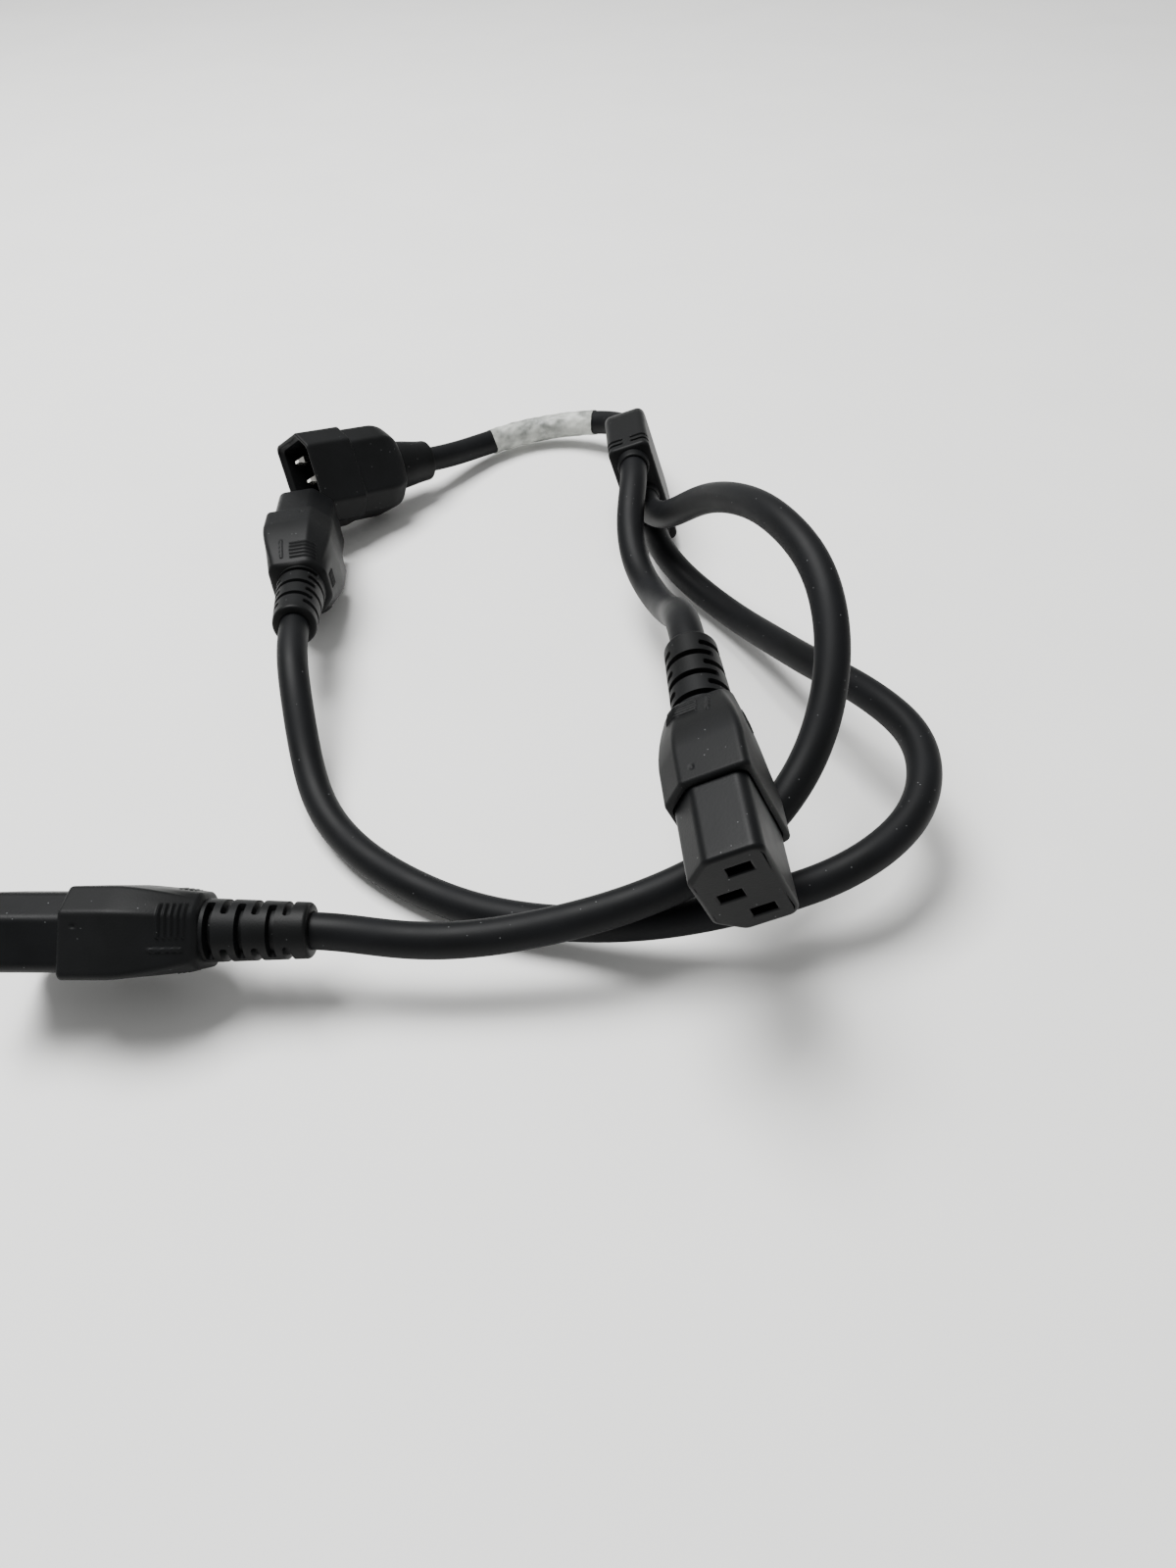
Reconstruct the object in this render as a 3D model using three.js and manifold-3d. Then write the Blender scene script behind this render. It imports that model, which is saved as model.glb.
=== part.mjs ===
// Three-way power splitter lead: an inlet plug on a short cord, a moulded splitter block,
// and three cords that each end in a socket connector. Millimetres, +Z up, standing on z = 0.
import * as THREE from 'three';
import { mergeVertices } from 'three/addons/utils/BufferGeometryUtils.js';
import Module from 'manifold-3d';

const wasm = await Module();
wasm.setup();

// ---------------------------------------------------------------- driving sizes

const gap = 0.3; // clearance between two pieces that touch

const cord = {
  diameter: 7.8, // three 0.82 mm2 cores in a round jacket
  sides: 10,
  step: 12, // length of one tube segment
  grip: 9, // length of jacket held inside each moulding
  lead: 5, // straight run outside each moulding
};

const core = {
  diameter: 2.0,
  sides: 6,
  pitch: 2.4, // spacing of the three cores where they leave the jacket
};

const pinLayout = {
  spacing: 14, // line to neutral
  offset: 4, // earth to the line through the other two
};

const socket = {
  noseWidth: 24,
  noseHeight: 16,
  noseLength: 17.5,
  noseRoot: 9, // part of the nose held inside the grip
  rootInset: 2, // how much smaller the root is on each side
  chamfer: 5,
  round: 1.6,
  gripWidth: 27,
  gripHeight: 18.5,
  gripLength: 26,
  gripFlat: 9, // length of the grip at full section
  startWidth: 17.2, // grip section where it steps out from the strain relief
  startHeight: 15.6,
  slotLength: 4.8,
  slotWidth: 2.4,
  slotDepth: 2.2, // front skin over each contact
};

const relief = {
  length: 21.5,
  neckWidth: 15,
  neckHeight: 13.5,
  tailWidth: 12,
  tailHeight: 11.6,
  slits: 6,
  slitWidth: 1.45,
  slitPitch: 3.15,
  collar: 3.4, // whole ring left at the cord end
  sleeve: 1.1, // wall left round the cord under each slit
};

const plug = {
  rimWidth: 28.5,
  rimHeight: 21,
  shroudLength: 14.5,
  wall: 2,
  chamfer: 5.2,
  round: 2.2,
  cavityDepth: 15.5,
  gripWidth: 26.8,
  gripHeight: 18.8,
  gripLength: 18.5,
  gripFlat: 11,
  gripStep: 1.5, // length of the slope from the grip out to the shroud
  carrierLength: 7.5,
  carrierInset: 1.6, // carrier margin inside the cavity outline
  pinLength: 14,
  pinTaper: 1.6, // length of the narrowed pin tip
  pinTail: 4,
  pinWidth: 4,
  pinThickness: 2,
};

const plugRelief = { length: 13, neckWidth: 16, neckHeight: 15, tailWidth: 13, tailHeight: 12.6 };

const contact = {
  length: 11,
  width: 5.2,
  thickness: 3,
  wall: 0.5,
  barrelLength: 5,
  barrelDiameter: 2.6,
};

const block = {
  depth: 32, // inlet side to outlet face
  height: 34, // along the row of outlets
  thickness: 12.6,
  pitch: 11, // between outlets
  round: 2.2,
  shoulder: 7, // corner cut at the inlet side
  collarLength: 2.6,
  collarWall: 1.2,
  grooveWidth: 1.1,
  grooveDepth: 1,
  groovePitch: 2.6,
  inletReliefLength: 12,
  inletReliefWidth: 12.4,
};

const splice = { length: 8, width: 7.4, thickness: 2.0 };

const label = { length: 40, thickness: 0.35, start: 30 }; // start is from the block's mouth

// ---------------------------------------------------------------- finishes

const finish = {
  mould: { color: 0x34383a, roughness: 0.62, metalness: 0 },
  insert: { color: 0x303436, roughness: 0.55, metalness: 0 },
  jacket: { color: 0x2c3032, roughness: 0.48, metalness: 0 },
  brass: { color: 0xc9b27a, roughness: 0.3, metalness: 1 },
  nickel: { color: 0xc9c8c2, roughness: 0.25, metalness: 1 },
  paper: { color: 0xdedfda, roughness: 0.7, metalness: 0 },
  line: { color: 0x1d1d1d, roughness: 0.5, metalness: 0 },
  neutral: { color: 0xe6e6e0, roughness: 0.5, metalness: 0 },
  earth: { color: 0x2f7a43, roughness: 0.5, metalness: 0 },
};

// ---------------------------------------------------------------- solids

function solid(geometry) {
  const bare = geometry.clone();
  bare.deleteAttribute('normal');
  bare.deleteAttribute('uv');
  const merged = mergeVertices(bare, 1e-5);
  return new wasm.Manifold(
    new wasm.Mesh({
      numProp: 3,
      vertProperties: new Float32Array(merged.attributes.position.array),
      triVerts: new Uint32Array(merged.index.array),
    })
  );
}

function bufferOf(shape) {
  const mesh = shape.getMesh();
  const geometry = new THREE.BufferGeometry();
  geometry.setAttribute('position', new THREE.BufferAttribute(mesh.vertProperties, 3));
  geometry.setIndex(new THREE.BufferAttribute(mesh.triVerts, 1));
  const flat = geometry.toNonIndexed();
  flat.computeVertexNormals();
  return flat;
}

// Skin through outlines of equal point count, each at its own x, closed by flat ends.
function loft(sections) {
  const count = sections[0].outline.length;
  const points = [];
  for (const { x, outline } of sections) {
    for (const [y, z] of outline) points.push(x, y, z);
  }
  const faces = [];
  for (let s = 0; s < sections.length - 1; s++) {
    for (let i = 0; i < count; i++) {
      const a = s * count + i;
      const b = s * count + ((i + 1) % count);
      faces.push(a, b, b + count, a, b + count, a + count);
    }
  }
  const last = (sections.length - 1) * count;
  const cap = THREE.ShapeUtils.triangulateShape(
    sections[0].outline.map(([y, z]) => new THREE.Vector2(y, z)),
    []
  );
  for (const [a, b, c] of cap) {
    faces.push(a, c, b);
    faces.push(last + a, last + b, last + c);
  }
  return new wasm.Manifold(
    new wasm.Mesh({
      numProp: 3,
      vertProperties: new Float32Array(points),
      triVerts: new Uint32Array(faces),
    })
  );
}

// Counter-clockwise outline whose corners are eased by a quadratic curve.
function easedOutline(corners, radius, segments = 2) {
  const outline = [];
  corners.forEach((corner, i) => {
    const here = new THREE.Vector2(...corner);
    const before = new THREE.Vector2(...corners[(i + corners.length - 1) % corners.length]);
    const after = new THREE.Vector2(...corners[(i + 1) % corners.length]);
    const reach = Math.min(radius, here.distanceTo(before) / 2.1, here.distanceTo(after) / 2.1);
    const from = here.clone().add(before.sub(here).setLength(reach));
    const to = here.clone().add(after.sub(here).setLength(reach));
    const ease = new THREE.QuadraticBezierCurve(from, here, to);
    for (const point of ease.getPoints(segments)) outline.push([point.x, point.y]);
  });
  return outline;
}

// Six-sided section with its two cut corners on the +z, earth, side.
function keyedOutline(width, height, chamfer, radius) {
  const y = width / 2;
  const z = height / 2;
  return easedOutline(
    [[-y, -z], [y, -z], [y, z - chamfer], [y - chamfer, z], [chamfer - y, z], [-y, z - chamfer]],
    radius
  );
}

// Oval with the same point count as a keyed outline and its points in the same order.
function ovalOutline(width, height) {
  const count = 18;
  const outline = [];
  for (let i = 0; i < count; i++) {
    const angle = Math.PI * (1.25 + 2 * ((i - 1) / count));
    outline.push([(Math.cos(angle) * width) / 2, (Math.sin(angle) * height) / 2]);
  }
  return outline;
}

function boxBetween(low, high) {
  const size = high.map((v, i) => v - low[i]);
  const geometry = new THREE.BoxGeometry(...size);
  geometry.translate(...low.map((v, i) => v + size[i] / 2));
  return solid(geometry);
}

function smoothPath(points) {
  return new THREE.CatmullRomCurve3(points, false, 'centripetal');
}

function tubeGeometry(points, diameter, sides, step) {
  const path = smoothPath(points);
  const section = new THREE.Shape();
  for (let i = 0; i < sides; i++) {
    const angle = (2 * Math.PI * i) / sides;
    const place = [(Math.cos(angle) * diameter) / 2, (Math.sin(angle) * diameter) / 2];
    if (i === 0) section.moveTo(...place);
    else section.lineTo(...place);
  }
  section.closePath();
  const steps = Math.max(1, Math.round(path.getLength() / step));
  return new THREE.ExtrudeGeometry(section, { steps, bevelEnabled: false, extrudePath: path });
}

// Straight rod along x.
function rod(from, to, diameter, sides = 12, y = 0, z = 0) {
  const geometry = new THREE.CylinderGeometry(diameter / 2, diameter / 2, to - from, sides);
  geometry.rotateZ(-Math.PI / 2);
  geometry.translate((from + to) / 2, y, z);
  return solid(geometry);
}

// Diameter whose flats, on a rod of the given sides, stand one gap outside a round piece.
function boreFor(diameter, sides = 12) {
  return (diameter + 2 * gap) / Math.cos(Math.PI / sides);
}

function addMesh(group, name, shape, look) {
  const geometry = shape instanceof THREE.BufferGeometry ? shape : bufferOf(shape);
  const mesh = new THREE.Mesh(geometry, new THREE.MeshStandardMaterial(finish[look]));
  mesh.name = name;
  group.add(mesh);
}

const poles = ['line', 'neutral', 'earth'];

// Place of each pole on a mating face: [y, z], earth on the +z side.
const polePlace = {
  line: [pinLayout.spacing / 2, -pinLayout.offset / 2],
  neutral: [-pinLayout.spacing / 2, -pinLayout.offset / 2],
  earth: [0, pinLayout.offset / 2],
};

// Place of each core where it leaves the round jacket: a triangle.
const coreRing = (core.pitch / Math.sqrt(3)) * 1.02;
const coreStart = {
  line: [coreRing * Math.cos(-Math.PI / 6), coreRing * Math.sin(-Math.PI / 6)],
  neutral: [coreRing * Math.cos((-5 * Math.PI) / 6), coreRing * Math.sin((-5 * Math.PI) / 6)],
  earth: [0, coreRing],
};

// Core from the end of the jacket to its terminal, with the room it needs in the moulding.
function addCores(group, name, fromX, toX) {
  const room = [];
  for (const pole of poles) {
    const [y0, z0] = coreStart[pole];
    const [y1, z1] = polePlace[pole];
    const along = (t, s) =>
      new THREE.Vector3(fromX + (toX - fromX) * t, y0 + (y1 - y0) * s, z0 + (z1 - z0) * s);
    const points = [along(0, 0), along(0.2, 0.06), along(0.8, 0.94), along(1, 1)];
    const geometry = tubeGeometry(points, core.diameter, core.sides, 2.6);
    addMesh(group, `${name}_core_${pole}`, geometry, pole);
    const outer = [along(-0.06, 0), ...points, along(1.06, 1)];
    room.push(solid(tubeGeometry(outer, boreFor(core.diameter, core.sides), core.sides, 2.6)));
  }
  return room;
}

function cutAll(shape, cutters) {
  return cutters.reduce((rest, cutter) => rest.subtract(cutter), shape);
}

// Slits of a flexible strain relief: by turns across its two wide sides and its two edges.
function reliefSlits(sizes) {
  const cutters = [];
  const reach = sizes.neckWidth;
  const sleeve = cord.diameter + 2 * gap + 2 * sizes.sleeve;
  for (let i = 0; i < sizes.slits; i++) {
    const x = sizes.collar + i * sizes.slitPitch;
    const ring = boxBetween([x, -reach, -reach], [x + sizes.slitWidth, reach, reach]);
    const bridge = i % 2 ? [reach, sleeve * 0.22] : [sleeve * 0.3, reach];
    const keep = boxBetween([x - 1, -bridge[0], -bridge[1]], [x + 3, bridge[0], bridge[1]]);
    cutters.push(ring.subtract(keep).subtract(rod(x - 1, x + 3, sleeve)));
  }
  return cutters;
}

// ---------------------------------------------------------------- socket connector

const socketLength = relief.length + socket.gripLength + socket.noseLength;

// Local frame: x from the cord exit to the mating face, y across, z towards the earth side.
function socketConnector(name) {
  const group = new THREE.Group();
  const gripEnd = relief.length + socket.gripLength;
  const rootStart = gripEnd - socket.noseRoot;
  const { noseWidth, noseHeight, chamfer, round, gripWidth, gripHeight, rootInset } = socket;
  const rootOutline = (extra) =>
    keyedOutline(
      noseWidth - 2 * rootInset + 2 * extra,
      noseHeight - 2 * rootInset + 2 * extra,
      chamfer - rootInset,
      round
    );
  const noseOutline = keyedOutline(noseWidth, noseHeight, chamfer, round);

  const contactStart = rootStart + 1;
  const contactEnd = socketLength - socket.slotDepth - gap;
  const room = addCores(group, name, cord.grip + gap, contactStart - contact.barrelLength - gap);

  const nose = loft([
    { x: rootStart, outline: rootOutline(0) },
    { x: gripEnd + gap, outline: rootOutline(0) },
    { x: gripEnd + gap + 0.01, outline: noseOutline },
    { x: socketLength, outline: noseOutline },
  ]);
  const hollows = [];
  for (const pole of poles) {
    const [y, z] = polePlace[pole];
    const tall = contact.width / 2 + gap;
    const wide = contact.thickness / 2 + gap;
    hollows.push(boxBetween([rootStart - 1, y - wide, z - tall], [contactEnd + gap, y + wide, z + tall]));
    const slot = [socket.slotWidth / 2, socket.slotLength / 2];
    hollows.push(
      boxBetween([contactEnd, y - slot[0], z - slot[1]], [socketLength + 1, y + slot[0], z + slot[1]])
    );
    const shell = boxBetween(
      [contactStart, y - contact.thickness / 2, z - contact.width / 2],
      [contactEnd, y + contact.thickness / 2, z + contact.width / 2]
    );
    const mouth = boxBetween(
      [
        contactEnd - contact.length,
        y - contact.thickness / 2 + contact.wall,
        z - contact.width / 2 + contact.wall,
      ],
      [contactEnd + 1, y + contact.thickness / 2 - contact.wall, z + contact.width / 2 - contact.wall]
    );
    const barrelStart = contactStart - contact.barrelLength;
    const barrel = rod(barrelStart, contactStart + 0.5, contact.barrelDiameter, 8, y, z);
    addMesh(group, `${name}_contact_${pole}`, shell.subtract(mouth).add(barrel), 'brass');
    const barrelRoom = boreFor(contact.barrelDiameter, 8);
    room.push(rod(barrelStart - 2 * gap, rootStart + 0.5, barrelRoom, 8, y, z));
  }
  addMesh(group, `${name}_nose`, cutAll(nose, hollows), 'insert');

  const neck = ovalOutline(relief.neckWidth, relief.neckHeight);
  const gripOutline = keyedOutline(gripWidth, gripHeight, chamfer, round);
  const { startWidth, startHeight } = socket;
  const swell = 0.69; // share of the flare reached halfway, so the sides stand convex
  const middle = keyedOutline(
    startWidth + (gripWidth - startWidth) * swell,
    startHeight + (gripHeight - startHeight) * swell,
    chamfer * 0.9,
    round
  );
  const outer = loft([
    { x: 0, outline: ovalOutline(relief.tailWidth, relief.tailHeight) },
    { x: relief.length, outline: neck },
    { x: relief.length + gap, outline: keyedOutline(startWidth, startHeight, chamfer * 0.7, round) },
    { x: gripEnd - (socket.gripFlat + socket.gripLength) / 2, outline: middle },
    { x: gripEnd - socket.gripFlat, outline: gripOutline },
    { x: gripEnd, outline: gripOutline },
  ]);
  const well = loft([
    { x: rootStart - gap, outline: rootOutline(gap) },
    { x: gripEnd + 1, outline: rootOutline(gap) },
  ]);
  const bore = rod(-1, cord.grip + gap, boreFor(cord.diameter));
  const overmould = cutAll(outer, [well, bore, ...room, ...reliefSlits(relief)]);
  addMesh(group, `${name}_overmould`, overmould, 'mould');
  return group;
}

// ---------------------------------------------------------------- inlet plug

const plugLength = plugRelief.length + plug.gripLength + plug.shroudLength;

// Local frame as for the socket: x from the cord exit to the rim of the shroud.
function inletPlug(name) {
  const group = new THREE.Group();
  const gripEnd = plugRelief.length + plug.gripLength;
  const floor = plugLength - plug.cavityDepth;
  const cavity = (extra) =>
    keyedOutline(
      plug.rimWidth - 2 * plug.wall + 2 * extra,
      plug.rimHeight - 2 * plug.wall + 2 * extra,
      plug.chamfer - plug.wall * 0.4,
      plug.round
    );
  const carrierStart = floor - plug.carrierLength;
  const carrierOutline = (extra) => cavity(extra - plug.carrierInset);
  const tailStart = carrierStart - plug.pinTail;
  const room = addCores(group, name, cord.grip + gap, tailStart - gap);
  const carrier = loft([
    { x: carrierStart, outline: carrierOutline(0) },
    { x: floor, outline: carrierOutline(0) },
  ]);
  const holes = [];
  for (const pole of poles) {
    const [y, z] = polePlace[pole];
    const half = [plug.pinThickness / 2, plug.pinWidth / 2];
    const blade = boxBetween(
      [carrierStart - 0.2, y - half[0], z - half[1]],
      [floor + plug.pinLength - plug.pinTaper, y + half[0], z + half[1]]
    );
    const tip = loft([
      {
        x: floor + plug.pinLength - plug.pinTaper,
        outline: [[y - half[0], z - half[1]], [y + half[0], z - half[1]], [y + half[0], z + half[1]],
          [y - half[0], z + half[1]]],
      },
      {
        x: floor + plug.pinLength,
        outline: [[y - half[0] * 0.4, z - half[1] * 0.6], [y + half[0] * 0.4, z - half[1] * 0.6],
          [y + half[0] * 0.4, z + half[1] * 0.6], [y - half[0] * 0.4, z + half[1] * 0.6]],
      },
    ]);
    const tail = rod(tailStart, carrierStart + 0.5, contact.barrelDiameter, 8, y, z);
    addMesh(group, `${name}_pin_${pole}`, blade.add(tip).add(tail), 'nickel');
    holes.push(
      boxBetween(
        [carrierStart - 1, y - half[0] - gap, z - half[1] - gap],
        [floor + 1, y + half[0] + gap, z + half[1] + gap]
      )
    );
    room.push(rod(tailStart - 2 * gap, carrierStart + 0.5, boreFor(contact.barrelDiameter, 8), 8, y, z));
  }
  addMesh(group, `${name}_pin_carrier`, cutAll(carrier, holes), 'insert');

  const rim = keyedOutline(plug.rimWidth, plug.rimHeight, plug.chamfer, plug.round);
  const grip = keyedOutline(plug.gripWidth, plug.gripHeight, plug.chamfer, plug.round);
  const outer = loft([
    { x: 0, outline: ovalOutline(plugRelief.tailWidth, plugRelief.tailHeight) },
    { x: plugRelief.length, outline: ovalOutline(plugRelief.neckWidth, plugRelief.neckHeight) },
    { x: gripEnd - plug.gripFlat, outline: grip },
    { x: gripEnd - plug.gripStep, outline: grip },
    { x: gripEnd, outline: rim },
    { x: plugLength, outline: rim },
  ]);
  const mouth = loft([
    { x: floor, outline: cavity(0) },
    { x: plugLength + 1, outline: cavity(0) },
  ]);
  const well = loft([
    { x: carrierStart - gap, outline: carrierOutline(gap) },
    { x: floor + 1, outline: carrierOutline(gap) },
  ]);
  const bore = rod(-1, cord.grip + gap, boreFor(cord.diameter));
  addMesh(group, `${name}_overmould`, cutAll(outer, [mouth, well, bore, ...room]), 'mould');
  return group;
}

// ---------------------------------------------------------------- splitter block

const outletNames = ['a', 'b', 'c'];
const outletRow = { a: block.pitch, b: 0, c: -block.pitch };
const layerOf = { line: core.pitch * 1.02, neutral: 0, earth: -core.pitch * 1.02 };
const blockInlet = -(block.depth + block.inletReliefLength);

// Local frame: x from the inlet side to the outlet face at x = 0, y along the row, z through it.
function splitterBlock(name) {
  const group = new THREE.Group();
  const room = [];
  const spliceX = -block.depth / 2 - splice.length / 2;
  const jacketEnd = -cord.grip - gap;
  const inletEnd = -block.depth - block.inletReliefLength + cord.grip + gap;
  for (const pole of poles) {
    const z = layerOf[pole];
    const half = [splice.width / 2, splice.thickness / 2];
    const crimp = boxBetween([spliceX, -half[0], z - half[1]], [spliceX + splice.length, half[0], z + half[1]]);
    addMesh(group, `${name}_splice_${pole}`, crimp, 'brass');
    room.push(
      boxBetween(
        [spliceX - 2 * gap, -half[0] - gap, z - half[1] - gap],
        [spliceX + splice.length + 2 * gap, half[0] + gap, z + half[1] + gap]
      )
    );
    const runs = [{ tag: 'inlet', points: [[inletEnd, 0], [spliceX - gap, 0]] }];
    for (const outlet of outletNames) {
      const y = outletRow[outlet];
      const start = (y / block.pitch) * core.pitch;
      const from = spliceX + splice.length + gap;
      runs.push({
        tag: outlet,
        points: [[from, start], [from + 1.2, start], [jacketEnd - 1.2, y], [jacketEnd, y]],
      });
    }
    for (const { tag, points } of runs) {
      const path = points.map(([x, y]) => new THREE.Vector3(x, y, z));
      addMesh(
        group,
        `${name}_${tag}_core_${pole}`,
        tubeGeometry(path, core.diameter, core.sides, 3),
        pole
      );
      const ends = [path[0].clone(), path[path.length - 1].clone()];
      ends[0].x -= 2 * gap;
      ends[1].x += 2 * gap;
      room.push(
        solid(tubeGeometry([ends[0], ...path, ends[1]], boreFor(core.diameter, core.sides), core.sides, 3))
      );
    }
  }

  const { depth, height, thickness, shoulder, round } = block;
  const y = height / 2;
  const z = thickness / 2;
  const outlineAt = (w, t) => easedOutline([[-w, -t], [w, -t], [w, t], [-w, t]], round);
  const body = loft([
    { x: -depth, outline: outlineAt(y - shoulder, z - 0.8) },
    { x: -depth + shoulder * 0.8, outline: outlineAt(y - shoulder * 0.15, z) },
    { x: -depth + shoulder * 1.6, outline: outlineAt(y, z) },
    { x: 0, outline: outlineAt(y, z) },
  ]);
  const neck = block.inletReliefWidth;
  const inlet = loft([
    { x: blockInlet, outline: ovalOutline(neck - 1.4, neck - 1.4) },
    { x: -depth + 3, outline: ovalOutline(neck, neck - 0.4) },
  ]);
  let shell = body.add(inlet);
  for (const outlet of outletNames) {
    const collar = cord.diameter + 2 * gap + 2 * block.collarWall;
    shell = shell.add(rod(-4, block.collarLength, collar, 16, outletRow[outlet], 0));
  }
  const grooves = [];
  for (let i = 0; i < 2; i++) {
    const x = -2.6 - i * block.groovePitch;
    for (const end of [-1, 1]) {
      for (const side of [-1, 1]) {
        const ys = [end * (y - block.grooveDepth), end * (y + 1)].sort((a, b) => a - b);
        const zs = [side * z * 0.28, side * (z + 1)].sort((a, b) => a - b);
        grooves.push(boxBetween([x - block.grooveWidth, ys[0], zs[0]], [x, ys[1], zs[1]]));
      }
    }
  }
  const bores = [rod(blockInlet - 1, inletEnd, boreFor(cord.diameter))];
  for (const outlet of outletNames) {
    bores.push(rod(jacketEnd, block.collarLength + 1, boreFor(cord.diameter), 12, outletRow[outlet], 0));
  }
  addMesh(group, `${name}_overmould`, cutAll(shell, [...grooves, ...bores, ...room]), 'mould');
  return group;
}

// ---------------------------------------------------------------- layout

// Each piece stands where its cord leaves it: the exit point, the direction that its x axis
// points in, and the direction nearest to which its z axis is turned.
const places = {
  plug: { exit: [-48.8, 358, 11.2], along: [-0.775, -0.6, 0.2], up: [0.55, -0.59, 0.59] },
  socketA: { exit: [23.5, 202, 48], along: [0.05, -0.99, -0.08], up: [-0.92, 0, -0.39] },
  socketB: { exit: [-58, 154.5, 17], along: [-0.99, 0.06, 0], up: [0, 0.75, 0.66] },
  socketC: { exit: [-75.5, 254, 21.5], along: [-0.08, 0.987, -0.135], up: [1, 0.08, 0.07] },
  block: { exit: [21, 316, 18.6], along: [0.01, -1, 0.07], up: [-0.96, -0.03, -0.28] },
};

// Points that each cord passes between its two mouldings, from the splitter block outwards.
const routes = {
  input: [
    [18.5, 371.5, 13.5], [12, 381, 10.2], [2, 386.3, 7.4], [-10.5, 387.5, 5.6], [-22, 383.3, 5.4],
    [-32, 375.6, 6.2], [-40.3, 366.5, 8.4],
  ],
  a: [
    [16.7, 302.5, 28], [15.2, 291.5, 23.5], [16.3, 279.5, 19], [20, 265, 19], [22, 252, 24],
    [23, 240, 30.5], [23, 229.5, 38], [23, 217.5, 45.5],
  ],
  b: [
    [23, 302, 21], [26.3, 292, 26.5], [30.5, 281.5, 35.5], [34.5, 271, 44], [39.5, 258, 51.5],
    [46, 238, 58.5], [53, 216, 57.5], [53.5, 196, 48], [46, 178, 34.5], [30, 164, 24.5],
    [9, 156, 19.5], [-8.5, 152.5, 17.3], [-22.5, 151.5, 15.5], [-34.5, 151.5, 15.2], [-46, 152.8, 16],
  ],
  c: [
    [26, 301, 8], [31, 290, 7], [38.5, 278, 6.2], [45, 266, 7.5], [50.5, 253.5, 11], [58, 234.5, 17],
    [68, 216.5, 21.5], [76, 196.5, 23.3], [71, 175.5, 22.2], [54.5, 162.5, 19], [33.5, 158.5, 14.3],
    [12, 158, 10], [-9, 161.5, 7], [-28.5, 168.5, 5.2], [-51, 184, 4.6], [-61.5, 196.5, 4.7],
    [-65.3, 203, 5.6], [-68.2, 211, 7.8], [-70.2, 219, 11.8], [-71.8, 227, 16.3],
    [-73.3, 235, 20], [-74.7, 243, 22],
  ],
};

function placed(group, { exit, along, up }) {
  const x = new THREE.Vector3(...along).normalize();
  const y = new THREE.Vector3(...up).cross(x).normalize();
  const z = x.clone().cross(y);
  group.quaternion.setFromRotationMatrix(new THREE.Matrix4().makeBasis(x, y, z));
  group.position.set(...exit);
  group.updateMatrixWorld(true);
  return group;
}

const lead = new THREE.Group();
const pieces = {
  plug: placed(inletPlug('input_plug'), places.plug),
  socketA: placed(socketConnector('socket_a'), places.socketA),
  socketB: placed(socketConnector('socket_b'), places.socketB),
  socketC: placed(socketConnector('socket_c'), places.socketC),
  block: placed(splitterBlock('splitter'), places.block),
};
for (const piece of Object.values(pieces)) lead.add(piece);

// ---------------------------------------------------------------- cords

// Straight run at one end of a cord: its end in the moulding, the mouth, and a lead outside.
// The direction, 1 or -1 along the piece's x axis, points out of the moulding.
function mouthRun(piece, mouthX, y, direction) {
  const depths = [-cord.grip, 0, cord.lead];
  return depths.map((depth) =>
    new THREE.Vector3(mouthX + direction * depth, y, 0).applyMatrix4(piece.matrixWorld)
  );
}

// Wrap round a cord between two of its rings. It takes the jacket's own rings, so that the
// flats of the two lie parallel.
function wrapGeometry(path, count, first, last, inner, outer) {
  const { sides } = cord;
  const { normals, binormals } = path.computeFrenetFrames(count, false);
  const points = [];
  for (let i = first; i <= last; i++) {
    for (const radius of [outer, inner]) {
      for (let k = 0; k < sides; k++) {
        const angle = (2 * Math.PI * k) / sides;
        const point = path.getPointAt(i / count);
        point.addScaledVector(normals[i], Math.cos(angle) * radius);
        point.addScaledVector(binormals[i], Math.sin(angle) * radius);
        points.push(point.x, point.y, point.z);
      }
    }
  }
  const faces = [];
  const quad = (a, b, c, d) => faces.push(a, b, c, a, c, d);
  const end = (last - first) * 2 * sides;
  for (let k = 0; k < sides; k++) {
    const next = (k + 1) % sides;
    for (let ring = 0; ring < end; ring += 2 * sides) {
      const [a, b] = [ring + k, ring + next];
      quad(a, b, b + 2 * sides, a + 2 * sides);
      quad(b + sides, a + sides, a + 3 * sides, b + 3 * sides);
    }
    quad(next, k, k + sides, next + sides);
    quad(end + k, end + next, end + next + sides, end + k + sides);
  }
  const geometry = new THREE.BufferGeometry();
  geometry.setAttribute('position', new THREE.Float32BufferAttribute(points, 3));
  geometry.setIndex(faces);
  const flat = geometry.toNonIndexed();
  flat.computeVertexNormals();
  return flat;
}

const cordEnds = {
  input: [mouthRun(pieces.block, blockInlet, 0, -1), mouthRun(pieces.plug, 0, 0, -1)],
  a: [
    mouthRun(pieces.block, block.collarLength, outletRow.a, 1),
    mouthRun(pieces.socketA, 0, 0, -1),
  ],
  b: [
    mouthRun(pieces.block, block.collarLength, outletRow.b, 1),
    mouthRun(pieces.socketB, 0, 0, -1),
  ],
  c: [
    mouthRun(pieces.block, block.collarLength, outletRow.c, 1),
    mouthRun(pieces.socketC, 0, 0, -1),
  ],
};

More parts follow.
